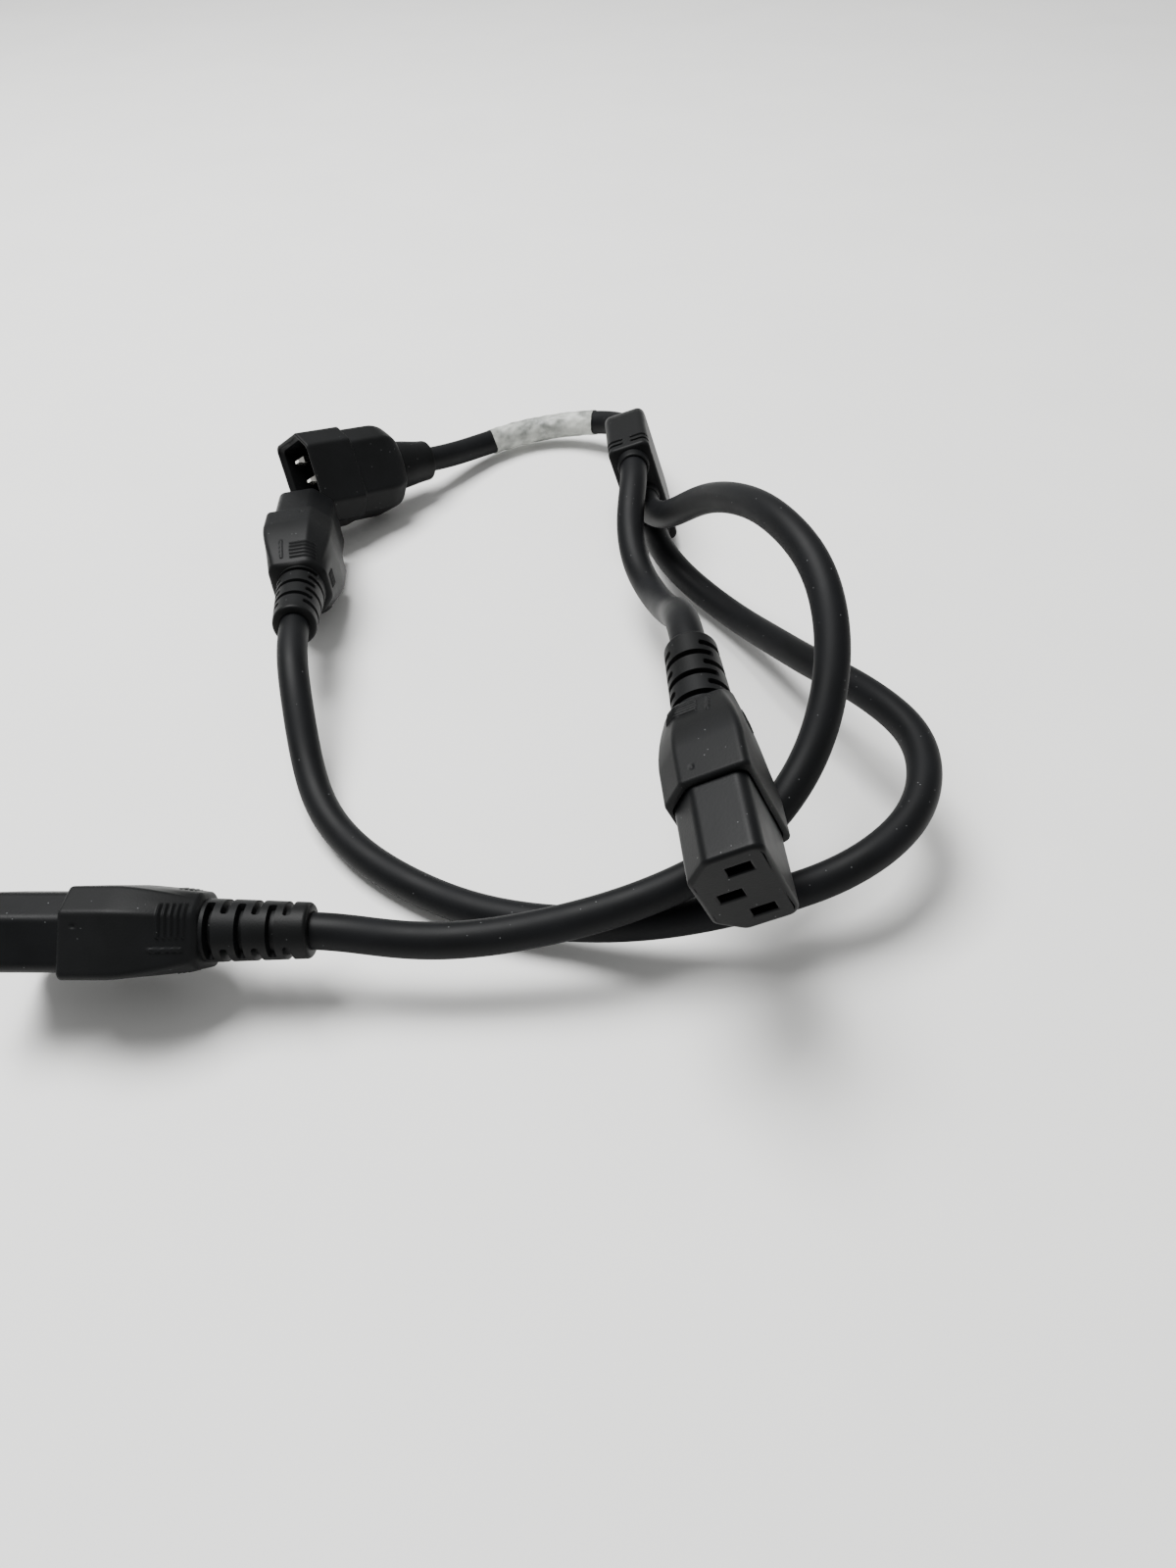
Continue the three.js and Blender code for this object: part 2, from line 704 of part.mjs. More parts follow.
for (const [name, [start, end]] of Object.entries(cordEnds)) {
  const between = routes[name].map((point) => new THREE.Vector3(...point));
  const points = [...start, ...between, ...end.reverse()];
  addMesh(lead, `cord_${name}`, tubeGeometry(points, cord.diameter, cord.sides, cord.step), 'jacket');
  if (name === 'input') {
    const path = smoothPath(points);
    const count = Math.round(path.getLength() / cord.step);
    const first = Math.round((cord.grip + label.start) / cord.step);
    const last = first + Math.round(label.length / cord.step);
    const inner = cord.diameter / 2 + gap;
    const wrap = wrapGeometry(path, count, first, last, inner, inner + label.thickness);
    addMesh(lead, 'label_wrap', wrap, 'paper');
  }
}

// Origin under the middle of the mouldings, at the height of the lowest one.
const bounds = new THREE.Box3();
for (const piece of Object.values(pieces)) bounds.expandByObject(piece, true);
const middle = bounds.getCenter(new THREE.Vector3());
lead.position.set(-middle.x, -middle.y, -bounds.min.z);
lead.updateMatrixWorld(true);

export default lead;
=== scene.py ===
# Power splitter lead: inlet plug, splitter block and three socket connectors on stiff PVC cord.
# Sizes are in millimetres until laid(), or a factor mm, turns them to metres.
import math

import bpy
import numpy as np
from mathutils import Matrix


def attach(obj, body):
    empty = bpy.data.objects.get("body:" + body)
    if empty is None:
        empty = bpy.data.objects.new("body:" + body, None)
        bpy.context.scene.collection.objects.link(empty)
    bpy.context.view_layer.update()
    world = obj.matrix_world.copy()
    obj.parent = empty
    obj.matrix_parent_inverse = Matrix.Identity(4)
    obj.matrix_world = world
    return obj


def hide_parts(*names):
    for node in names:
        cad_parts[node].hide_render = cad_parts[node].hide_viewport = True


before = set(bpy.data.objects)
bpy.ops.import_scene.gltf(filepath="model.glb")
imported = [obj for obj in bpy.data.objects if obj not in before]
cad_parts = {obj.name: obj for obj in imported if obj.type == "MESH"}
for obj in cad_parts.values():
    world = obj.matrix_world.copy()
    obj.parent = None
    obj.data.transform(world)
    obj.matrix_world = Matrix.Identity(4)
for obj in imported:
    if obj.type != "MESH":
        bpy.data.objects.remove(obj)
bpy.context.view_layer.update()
mm = 0.001

layShift = np.array([42.284, -249.635, 0.277])  # from the layout's origin to the part's

places = {  # cord exit, direction towards the mating face, direction of the earth side
    "plug": ((-48.8, 358, 11.2), (-0.775, -0.6, 0.2), (0.55, -0.59, 0.59)),
    "socketA": ((23.5, 202, 48), (0.05, -0.99, -0.08), (-0.92, 0, -0.39)),
    "socketB": ((-58, 154.5, 17), (-0.99, 0.06, 0), (0, 0.75, 0.66)),
    "socketC": ((-75.5, 254, 21.5), (-0.08, 0.987, -0.135), (1, 0.08, 0.07)),
    "block": ((21, 316, 18.6), (0.01, -1, 0.07), (-0.96, -0.03, -0.28)),
}

routes = {  # points between the two mouldings, from the splitter block outwards
    "input": [
        (18.5, 371.5, 13.5), (12, 381, 10.2), (2, 386.3, 7.4), (-10.5, 387.5, 5.6),
        (-22, 383.3, 5.4), (-32, 375.6, 6.2), (-40.3, 366.5, 8.4),
    ],
    "a": [
        (16.7, 302.5, 28), (15.2, 291.5, 23.5), (16.3, 279.5, 19), (20, 265, 19), (22, 252, 24),
        (23, 240, 30.5), (23, 229.5, 38), (23, 217.5, 45.5),
    ],
    "b": [
        (23, 302, 21), (26.3, 292, 26.5), (30.5, 281.5, 35.5), (34.5, 271, 44), (39.5, 258, 51.5),
        (46, 238, 58.5), (53, 216, 57.5), (53.5, 196, 48), (46, 178, 34.5), (30, 164, 24.5),
        (9, 156, 19.5), (-8.5, 152.5, 17.3), (-22.5, 151.5, 15.5), (-34.5, 151.5, 15.2),
        (-46, 152.8, 16),
    ],
    "c": [
        (26, 301, 8), (31, 290, 7), (38.5, 278, 6.2), (45, 266, 7.5), (50.5, 253.5, 11),
        (58, 234.5, 17), (68, 216.5, 21.5), (76, 196.5, 23.3), (71, 175.5, 22.2),
        (54.5, 162.5, 19), (33.5, 158.5, 14.3), (12, 158, 10), (-9, 161.5, 7), (-28.5, 168.5, 5.2),
        (-51, 184, 4.6), (-61.5, 196.5, 4.7),
        (-65.3, 203, 5.6), (-68.2, 211, 7.8), (-70.2, 219, 11.8), (-71.8, 227, 16.3),
        (-73.3, 235, 20), (-74.7, 243, 22),
    ],
}


# x points at the mating face, y is the earth direction crossed with x, z is x crossed with y
def axesOf(place):
    origin, along, up = (np.array(v, float) for v in places[place])
    x = along / np.linalg.norm(along)
    y = np.cross(up, x)
    y /= np.linalg.norm(y)
    return origin + layShift, np.stack([x, y, np.cross(x, y)])


# a piece's own point is summed along its three axes from its origin, then turned to metres
def laid(points, place):
    origin, axes = axesOf(place)
    return (origin + points @ axes) * mm


cameraSet = {
    "at": (42.284, -249.635, 206.05),
    "pitch": 44.24,  # degrees below level
    "roll": 2.69,  # degrees about the line of sight
    "lens": 27,
    "sensor": 36,
    "nearest": 0.01,
    "farthest": 20,
}


# ahead is level turned down by the pitch; right and down are turned about it by the roll
def makeCamera():
    pitch, roll = math.radians(cameraSet["pitch"]), math.radians(cameraSet["roll"])
    ahead = np.array([0, math.cos(pitch), -math.sin(pitch)])
    down = np.cross(ahead, [1, 0, 0])
    right = math.cos(roll) * np.array([1, 0, 0]) + math.sin(roll) * down
    down = np.cross(ahead, right)
    data = bpy.data.cameras.new("camera")
    data.lens, data.sensor_width = cameraSet["lens"], cameraSet["sensor"]
    data.clip_start, data.clip_end = cameraSet["nearest"], cameraSet["farthest"]
    camera = bpy.data.objects.new("camera", data)
    bpy.context.scene.collection.objects.link(camera)
    matrix = np.eye(4)
    matrix[:3, 0], matrix[:3, 1], matrix[:3, 2] = right, -down, -ahead
    matrix[:3, 3] = np.array(cameraSet["at"]) * mm
    camera.matrix_world = Matrix(matrix.tolist())
    bpy.context.scene.camera = camera


makeCamera()
print("camera placed")


# sRGB to linear: v over 12.92 up to 0.04045, above it (v + 0.055) over 1.055 to the power 2.4
def linear(hexColour):
    values = [int(hexColour[i : i + 2], 16) / 255 for i in (1, 3, 5)]
    return [v / 12.92 if v <= 0.04045 else ((v + 0.055) / 1.055) ** 2.4 for v in values] + [1]


# noise scale for features of so many millimetres: one over their size in metres
def perMm(size):
    return 1 / (size * mm)


# adds a node: an input is a value or another node's output, stops are a ramp's (place, colour)
def addNode(tree, kind, inputs, stops=()):
    node = tree.nodes.new(kind)
    for key, value in inputs.items():
        if isinstance(value, bpy.types.NodeSocket):
            tree.links.new(value, node.inputs[key])
        else:
            node.inputs[key].default_value = value
    for _ in stops[2:]:
        node.color_ramp.elements.new(0.5)
    for i, (position, colour) in enumerate(stops):
        element = node.color_ramp.elements[i]
        element.position, element.color = position, linear(colour)
    return node


def newMaterial(name, shaderValues):
    material = bpy.data.materials.new(name)
    material.use_nodes = True
    tree = material.node_tree
    shader = tree.nodes["Principled BSDF"]
    for key, value in shaderValues.items():
        shader.inputs[key].default_value = value
    return material, tree, shader


pvcSet = {
    "ior": 1.46,
    "specular": 0.13,  # the grain breaks up most of the gloss
    "cloud": 14,  # size of the faint changes of tone
    "dustPitch": 2.6,  # one speck of dust may lie in each cell of this size
    "dustSize": (0.035, 0.06),  # of a cell, whole and faded out
    "dustCover": 0.35,
    "dust": "#8d8f90",
    "grainStrength": 0.6,
}


# cloudy tone and gloss from one noise, dust by the distance in each cell, bump from fine noise
def grainedPvc(name, dark, light, roughness, grain, depth, specks=True):
    p = pvcSet
    shaderValues = {"IOR": p["ior"], "Specular IOR Level": p["specular"]}
    material, tree, shader = newMaterial(name, shaderValues)
    place = addNode(tree, "ShaderNodeTexCoord", {}).outputs["Object"]
    cloudy = {"Vector": place, "Scale": perMm(p["cloud"]), "Detail": 3}
    cloud = addNode(tree, "ShaderNodeTexNoise", cloudy).outputs["Fac"]
    tone = [(0.3, dark), (0.7, light)]
    colour = addNode(tree, "ShaderNodeValToRGB", {"Fac": cloud}, tone).outputs["Color"]
    if specks:
        whole, gone = p["dustSize"]
        cells = {"Vector": place, "Scale": perMm(p["dustPitch"])}
        cell = addNode(tree, "ShaderNodeTexVoronoi", cells).outputs["Distance"]
        fade = {0: cell, 1: whole, 2: gone, 3: p["dustCover"], 4: 0}
        cover = addNode(tree, "ShaderNodeMapRange", fade).outputs[0]
        mixed = {"Fac": cover, "Color1": colour, "Color2": linear(p["dust"])}
        colour = addNode(tree, "ShaderNodeMixRGB", mixed).outputs[0]
    tree.links.new(colour, shader.inputs["Base Color"])
    grained = {"Vector": place, "Scale": perMm(grain), "Detail": 2}
    fine = addNode(tree, "ShaderNodeTexNoise", grained).outputs["Fac"]
    spread = {0: cloud, 1: 0.3, 2: 0.7, 3: roughness - 0.05, 4: roughness + 0.06}
    gloss = addNode(tree, "ShaderNodeMapRange", spread).outputs[0]
    tree.links.new(gloss, shader.inputs["Roughness"])
    relief = {"Height": fine, "Strength": p["grainStrength"], "Distance": depth * mm}
    bump = addNode(tree, "ShaderNodeBump", relief).outputs[0]
    tree.links.new(bump, shader.inputs["Normal"])
    return material


# soft PVC moulded against a spark-eroded tool: matte, so its lit tops go grey
mouldedPvc = grainedPvc("mouldedPvc", "#0a0b0b", "#0f1011", 0.5, 0.35, 0.05)
# harder PVC of the contact carrier: a little smoother than the overmould
carrierPvc = grainedPvc("carrierPvc", "#08090a", "#0d0e0f", 0.42, 0.5, 0.03)
# extruded PVC jacket: satin, with the finest grain
jacketPvc = grainedPvc("jacketPvc", "#0a0b0c", "#0f1012", 0.54, 0.6, 0.02)


# roughness follows faint drawing marks half a millimetre wide
def drawnMetal(name, colour, roughness):
    material, tree, shader = newMaterial(name, {"Metallic": 1, "Base Color": linear(colour)})
    place = addNode(tree, "ShaderNodeTexCoord", {}).outputs["Object"]
    drawn = {"Vector": place, "Scale": perMm(0.5), "Detail": 3}
    marks = addNode(tree, "ShaderNodeTexNoise", drawn).outputs["Fac"]
    spread = {0: marks, 1: 0.2, 2: 0.8, 3: roughness - 0.06, 4: roughness + 0.1}
    gloss = addNode(tree, "ShaderNodeMapRange", spread).outputs[0]
    tree.links.new(gloss, shader.inputs["Roughness"])
    return material


# nickel plate on the drawn pins: bright, with a sharp glint
nickelPlate = drawnMetal("nickelPlate", "#d2d0ca", 0.22)
# bare brass strip, stamped and formed: dull yellow
formedBrass = drawnMetal("formedBrass", "#7d6636", 0.45)


# extruded PVC sleeve of one core: clean inside the mouldings, so no dust lies on it
def coreSleeve(name, dark, light):
    return grainedPvc(name, dark, light, 0.4, 0.4, 0.01, specks=False)


lineSleeve = coreSleeve("lineSleeve", "#141414", "#1c1c1c")
neutralSleeve = coreSleeve("neutralSleeve", "#dcdcd6", "#e6e6e0")
earthSleeve = coreSleeve("earthSleeve", "#2a6f3c", "#337d46")


# white vinyl film with rubbed print: grey smudges 6 mm across, creases 1.4 mm apart
def makeLabelFilm():
    material, tree, shader = newMaterial("labelFilm", {"IOR": 1.48, "Roughness": 0.45})
    place = addNode(tree, "ShaderNodeTexCoord", {}).outputs["Object"]
    rubbed = {"Vector": place, "Scale": perMm(6), "Detail": 5}
    smudge = addNode(tree, "ShaderNodeTexNoise", rubbed).outputs["Fac"]
    tone = [(0.36, "#6f726e"), (0.5, "#989a95"), (0.64, "#b2b4ae")]
    colour = addNode(tree, "ShaderNodeValToRGB", {"Fac": smudge}, tone).outputs["Color"]
    tree.links.new(colour, shader.inputs["Base Color"])
    creased = {"Vector": place, "Scale": perMm(1.4), "Detail": 3}
    crease = addNode(tree, "ShaderNodeTexNoise", creased).outputs["Fac"]
    relief = {"Height": crease, "Strength": 0.8, "Distance": 0.25 * mm}
    bump = addNode(tree, "ShaderNodeBump", relief).outputs[0]
    tree.links.new(bump, shader.inputs["Normal"])
    return material


labelFilm = makeLabelFilm()

nodeFinish = {  # the first of these keys that a node's name holds gives its finish
    "contact": formedBrass,
    "splice": formedBrass,
    "pin_carrier": carrierPvc,
    "pin": nickelPlate,
    "core_line": lineSleeve,
    "core_neutral": neutralSleeve,
    "core_earth": earthSleeve,
}
for name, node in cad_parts.items():
    for key, material in nodeFinish.items():
        if key in name:
            node.data.materials.clear()
            node.data.materials.append(material)
            break
print("materials made")


# sum over the two halves of each quad: a corner times the cross product of the next two
def volumeOf(points, quads):
    a, b, c, d = (points[quads[:, i]] for i in range(4))
    first, second = np.cross(b, c), np.cross(c, d)
    return (np.einsum("ij,ij->i", a, first) + np.einsum("ij,ij->i", a, second)).sum()


# quads join each ring of points to the next, and a fan to the ring's mean closes each end
def closedLoft(rings):
    count, around = rings.shape[:2]
    points = np.concatenate([rings.reshape(-1, 3), rings[[0, -1]].mean(axis=1)])
    i, k = np.meshgrid(np.arange(count - 1), np.arange(around), indexing="ij")
    here, there, n = i * around, (i + 1) * around, (k + 1) % around
    quads = np.stack([here + k, here + n, there + n, there + k], -1).reshape(-1, 4)
    step, following = np.arange(around), (np.arange(around) + 1) % around
    last, low, high = (count - 1) * around, count * around, count * around + 1
    lowFan = np.stack([following, step, np.full(around, low)], -1)
    highFan = np.stack([last + step, last + following, np.full(around, high)], -1)
    fans = np.concatenate([lowFan, highFan])
    if volumeOf(points - points.mean(axis=0), quads) < 0:
        quads, fans = quads[:, ::-1], fans[:, ::-1]
    return points, quads, fans


# the grid of points and the same grid flattened at backX, joined round their rims
def gridShell(front, backX):
    rows, cols = front.shape[:2]
    back = front.copy()
    back[..., 0] = backX
    points = np.concatenate([front.reshape(-1, 3), back.reshape(-1, 3)])
    i, k = np.meshgrid(np.arange(rows - 1), np.arange(cols - 1), indexing="ij")
    a = (i * cols + k).ravel()
    faces = np.stack([a, a + 1, a + cols + 1, a + cols], -1)
    shift = rows * cols
    right = np.arange(1, rows) * cols + cols - 1
    top = (rows - 1) * cols + np.arange(cols - 2, -1, -1)
    rim = np.concatenate([np.arange(cols), right, top, np.arange(rows - 2, 0, -1) * cols])
    nextRim = np.roll(rim, -1)
    sides = np.stack([nextRim, rim, rim + shift, nextRim + shift], -1)
    quads = np.concatenate([faces, faces[:, ::-1] + shift, sides])
    if volumeOf(points - points.mean(axis=0), quads) < 0:
        quads = quads[:, ::-1]
    return points, quads, np.zeros((0, 3), int)


creaseAngle = 38  # degrees between two faces from which their edge is drawn sharp


# one mesh from closed shells of quads and triangles, in metres
def makePiece(name, shells, material, replaced):
    points, loops, sizes, base = [], [], [], 0
    for shellPoints, quads, fans in shells:
        points.append(shellPoints)
        loops += [quads.ravel() + base, fans.ravel() + base]
        sizes += [np.full(len(quads), 4), np.full(len(fans), 3)]
        base += len(shellPoints)
    points, loops, sizes = np.concatenate(points), np.concatenate(loops), np.concatenate(sizes)
    mesh = bpy.data.meshes.new(name)
    mesh.vertices.add(len(points))
    mesh.vertices.foreach_set("co", points.astype(np.float32).ravel())
    mesh.loops.add(len(loops))
    mesh.loops.foreach_set("vertex_index", loops.astype(np.int32))
    mesh.polygons.add(len(sizes))
    starts = np.concatenate([[0], np.cumsum(sizes)[:-1]])
    mesh.polygons.foreach_set("loop_start", starts.astype(np.int32))
    mesh.polygons.foreach_set("use_smooth", np.ones(len(sizes), bool))
    mesh.update(calc_edges=True)
    mesh.validate()
    mesh.set_sharp_from_angle(angle=math.radians(creaseAngle))
    mesh.materials.append(material)
    piece = bpy.data.objects.new(name, mesh)
    bpy.context.scene.collection.objects.link(piece)
    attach(piece, "root")
    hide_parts(replaced)
    return piece


# t is the way from low to high, held in 0 to 1: three times its square less twice its cube
def easeBetween(value, low, high):
    t = np.clip((value - low) / (high - low), 0, 1)
    return t * t * (3 - 2 * t)


# how far a rounded edge lies inside its square one, over its radius, with t the way across it
def arcShort(t):
    return 1 - np.sqrt(1 - (1 - np.clip(t, 0, 1)) ** 2)


# a skin is a reach, its distance from the piece's x axis, in each of these directions
around = 320
angles = np.linspace(0, 2 * math.pi, around, endpoint=False) + math.pi / around
spokes = np.stack([np.cos(angles), np.sin(angles)], -1)


# each arc's middle is on its corner's bisector, the radius over the sine of half the corner away
def roundedPolygon(corners, radius, steps=10):
    corners = np.array(corners, float)
    blend = np.linspace(0, 1, steps)[:, None]
    arcs = []
    for i, corner in enumerate(corners):
        before = corners[i - 1] - corner
        after = corners[(i + 1) % len(corners)] - corner
        before, after = before / np.linalg.norm(before), after / np.linalg.norm(after)
        half = math.acos(np.clip(before @ after, -1, 1)) / 2
        bisector = (before + after) / np.linalg.norm(before + after)
        middle = corner + bisector * radius / math.sin(half)
        start = corner + before * radius / math.tan(half) - middle
        end = corner + after * radius / math.tan(half) - middle
        spoke = start * (1 - blend) + end * blend
        arcs.append(middle + spoke / np.linalg.norm(spoke, axis=1)[:, None] * radius)
    return np.concatenate(arcs)


# where each direction meets the outline: its edge is found by bearing, then the two are crossed
def reachOf(outline):
    bearing = np.arctan2(outline[:, 1], outline[:, 0]) % (2 * math.pi)
    order = np.argsort(bearing)
    bearing, outline = bearing[order], outline[order]
    bearing = np.concatenate([bearing[-3:] - 2 * math.pi, bearing, bearing[:3] + 2 * math.pi])
    outline = np.concatenate([outline[-3:], outline, outline[:3]])
    found = np.interp(angles, bearing, np.arange(len(bearing)))
    low = np.clip(found.astype(int), 0, len(bearing) - 2)
    a, b = outline[low], outline[low + 1]
    edge = b - a
    # spoke * reach = a + edge * s, so reach is a crossed with edge over spoke crossed with edge
    top = a[:, 0] * edge[:, 1] - a[:, 1] * edge[:, 0]
    under = spokes[:, 0] * edge[:, 1] - spokes[:, 1] * edge[:, 0]
    return top / under


# six-sided coupler outline: a box with its two corners on the earth side cut at 45 degrees
def keyedReach(width, height, chamfer, radius):
    y, z = width / 2, height / 2
    right = [(y, -z), (y, z - chamfer), (y - chamfer, z)]
    left = [(chamfer - y, z), (-y, z - chamfer)]
    return reachOf(roundedPolygon([(-y, -z)] + right + left, radius))


def boxReach(width, height, radius):
    y, z = width / 2, height / 2
    return reachOf(roundedPolygon([(-y, -z), (y, -z), (y, z), (-y, z)], radius))


# superellipse: power 2 is an oval, more is squarer
def ovalReach(width, height, power=2.0):
    y, z = np.abs(spokes[:, 0] * 2 / width), np.abs(spokes[:, 1] * 2 / height)
    return (y**power + z**power) ** (-1 / power)


# a ring at each x: every direction times its reach
def ringsOf(stations, reaches):
    flat = reaches[:, :, None] * spokes[None]
    xs = np.broadcast_to(np.array(stations)[:, None, None], flat.shape[:2] + (1,))
    return np.concatenate([xs, flat], axis=-1)


# two rings of one radius line the hole that a cord comes out of
def holeRings(insideX, mouthX, radius):
    return ringsOf([insideX, mouthX], np.full((2, around), radius))


# 1 inside a round-cornered slot, 0 outside: the distance to a rounded box, eased over soft
def slotMask(along, across, halfAcross, halfAlong, radius, soft):
    dx, dy = np.abs(along) - halfAlong + radius, np.abs(across) - halfAcross + radius
    outside = np.hypot(np.maximum(dx, 0), np.maximum(dy, 0))
    distance = outside + np.minimum(np.maximum(dx, dy), 0) - radius
    return 1 - easeBetween(distance, -soft, soft)


# stations along a piece: spans of (start, end, step) joined, with no doubles
def stationsOf(length, spans):
    parts = [np.arange(a, b - step * 0.3, step) for a, b, step in spans]
    return np.unique(np.round(np.concatenate(parts + [[length]]), 4))


# angle of every direction from one of them, in -pi to pi
def turnFrom(direction):
    return (angles - direction + math.pi) % (2 * math.pi) - math.pi


def shellAt(shell, place):
    points, quads, fans = shell
    return laid(points, place), quads, fans


socketSet = {
    "reliefLength": 21.5,
    "tail": (12, 11.6),
    "neck": (14.6, 13.2, 2.15),  # width, height, squareness
    "tailEdge": 0.9,
    "start": (15.6, 15.5, 3.8, 2.8),  # where the grip steps out: width, height, chamfer, rounding
    "step": 1.1,  # length of that rounded step
    "flare": 1.7,  # how early the grip reaches its full size
    "gripLength": 26,
    "gripFlat": 9,
    "grip": (27, 18.5, 5, 1.5),
    "lip": 1.0,  # rounding of the grip's front edge
    "nose": (24, 16),
    "noseLength": 17.5,
    "chamfer": 5,
    "noseRound": 2.4,
    "noseEdge": 1.0,  # rounding of the mating face's edge
    "noseRoot": 2.6,  # how far it starts inside the grip
    "well": (0.6, 2.4),  # recess round the nose's root: extra width and depth
    "slits": 6,
    "collar": 3.4,  # whole ring left at the cord end
    "slitPitch": 3.15,
    "slitWide": 1.45,
    "slitHalf": 6.5,  # half its length round the strain relief
    "slitRound": 0.6,
    "reliefRadius": 6.4,
    "sleeveRadius": 4.95,
    "holeRadius": 3.98,
    "holeDepth": 5,
    "slots": [(7, -2), (-7, -2), (0, 2)],  # line, neutral and earth, on the mating face
    "slotHalf": (1.2, 2.4),
    "slotDepth": 11,
    "slotLead": 0.3,  # width of the slope round each slot
    "marks": {  # middle along and across, half size across and along, corner, height
        "patch": (4.5, 2.3, 3.4, 2.7, 0.3, 0.4),
        "line": (5.2, -3.4, 0.4, 3.0, 0.35, 0.28),
        "dot": (22.6, 1.4, 0.4, 0.4, 0.39, -0.3),
        "widePatch": (4.2, 0, 2.2, 1.8, 0.3, 0.3),
    },
    "ribPitch": 1.1,
    "firstRib": 4.5,
}
gripEndX = socketSet["reliefLength"] + socketSet["gripLength"]
noseFrontX = gripEndX + socketSet["noseLength"]


# ribbed patch, raised line and dot on each narrow side, a small ribbed patch on each wide side
def markedReach(xs, reach):
    s = socketSet
    y, z = reach * spokes[None, :, 0], reach * spokes[None, :, 1]
    x = xs[:, None] - s["reliefLength"]
    ribs = 0.5 + 0.5 * np.cos(2 * math.pi * (x - s["firstRib"]) / s["ribPitch"])

    def heightOf(mark, across):
        along, middle, halfAcross, halfAlong, corner, height = s["marks"][mark]
        return slotMask(x - along, across - middle, halfAcross, halfAlong, corner, 0.1) * height

    narrow = heightOf("patch", z) * ribs + heightOf("line", z) + heightOf("dot", z)
    wide = heightOf("widePatch", y) * ribs
    return reach + narrow * (np.abs(y) > np.abs(z) * 1.02) + wide * (np.abs(z) > np.abs(y))


# tail to neck, a quarter-circle step, a flare to the full grip, and slits held to the sleeve
def socketBody():
    s = socketSet
    neckX, flatX, lipX = s["reliefLength"], gripEndX - s["gripFlat"], gripEndX - s["lip"]
    spans = [(0, neckX, 0.15), (neckX, neckX + 8, 0.14), (neckX + 8, lipX, 0.4)]
    xs = stationsOf(gripEndX, spans + [(lipX, gripEndX, 0.1)])
    tail, neck = ovalReach(*s["tail"]), ovalReach(*s["neck"])
    start, grip = keyedReach(*s["start"]), keyedReach(*s["grip"])
    taper = np.clip(xs / neckX, 0, 1)[:, None]
    flare = 1 - (1 - np.clip((xs - neckX) / (flatX - neckX), 0, 1)[:, None]) ** s["flare"]
    out = 1 - arcShort((xs - neckX) / s["step"])[:, None]
    relief = tail * (1 - taper) + neck * taper
    reach = relief * (1 - out) + (start * (1 - flare) + grip * flare) * out
    reach = reach - s["tailEdge"] * arcShort(xs / s["tailEdge"])[:, None]
    reach = reach - s["lip"] * arcShort((gripEndX - xs) / s["lip"])[:, None]
    halfWide = s["slitWide"] / 2
    for i in range(s["slits"]):
        along = xs[:, None] - (s["collar"] + halfWide + i * s["slitPitch"])
        for side in (0, 1):
            facing = (math.pi / 2 if i % 2 == 0 else 0) + side * math.pi
            across = turnFrom(facing)[None] * s["reliefRadius"]
            mask = slotMask(along, across, s["slitHalf"], halfWide, s["slitRound"], 0.09)
            reach = reach * (1 - mask) + np.minimum(reach, s["sleeveRadius"]) * mask
    gap, depth = s["well"]
    nose = keyedReach(s["nose"][0] + gap, s["nose"][1] + gap, s["chamfer"], s["noseRound"])
    well = ringsOf([gripEndX, gripEndX - depth], np.stack([nose, nose]))
    mouth = holeRings(s["holeDepth"], 0, s["holeRadius"])
    return closedLoft(np.concatenate([mouth, ringsOf(xs, markedReach(xs, reach)), well]))


# keyed outline along the nose, drawn in by a quarter circle at the edge, then back inside
def noseSkin():
    s = socketSet
    edge, turn, rootX = s["noseEdge"], np.linspace(0, math.pi / 2, 9)[1:], gripEndX - s["noseRoot"]
    straight = np.concatenate([[rootX], np.linspace(rootX + 1, noseFrontX - edge, 24)])
    xs = [straight, noseFrontX - edge + edge * np.sin(turn), [noseFrontX, noseFrontX - 13]]
    inset = [np.zeros(len(straight)), edge * (1 - np.cos(turn)), [edge + 0.1, edge + 0.1]]
    full = keyedReach(*s["nose"], s["chamfer"], s["noseRound"])
    return closedLoft(ringsOf(np.concatenate(xs), full - np.concatenate(inset)[:, None]))


slotWall = 0.04  # a slot's edge is two grid lines this far apart, so that its walls stay upright


# even grid lines from low to high, and the two at each edge of every slot
def faceLines(low, high, count, middles, half):
    gaps = (0, slotWall)
    edges = [middle + sign * (half + gap) for middle in middles for sign in (-1, 1) for gap in gaps]
    edges = np.abs(edges) if low == 0 else edges
    return np.unique(np.round(np.concatenate([np.linspace(low, high, count), edges]), 4))


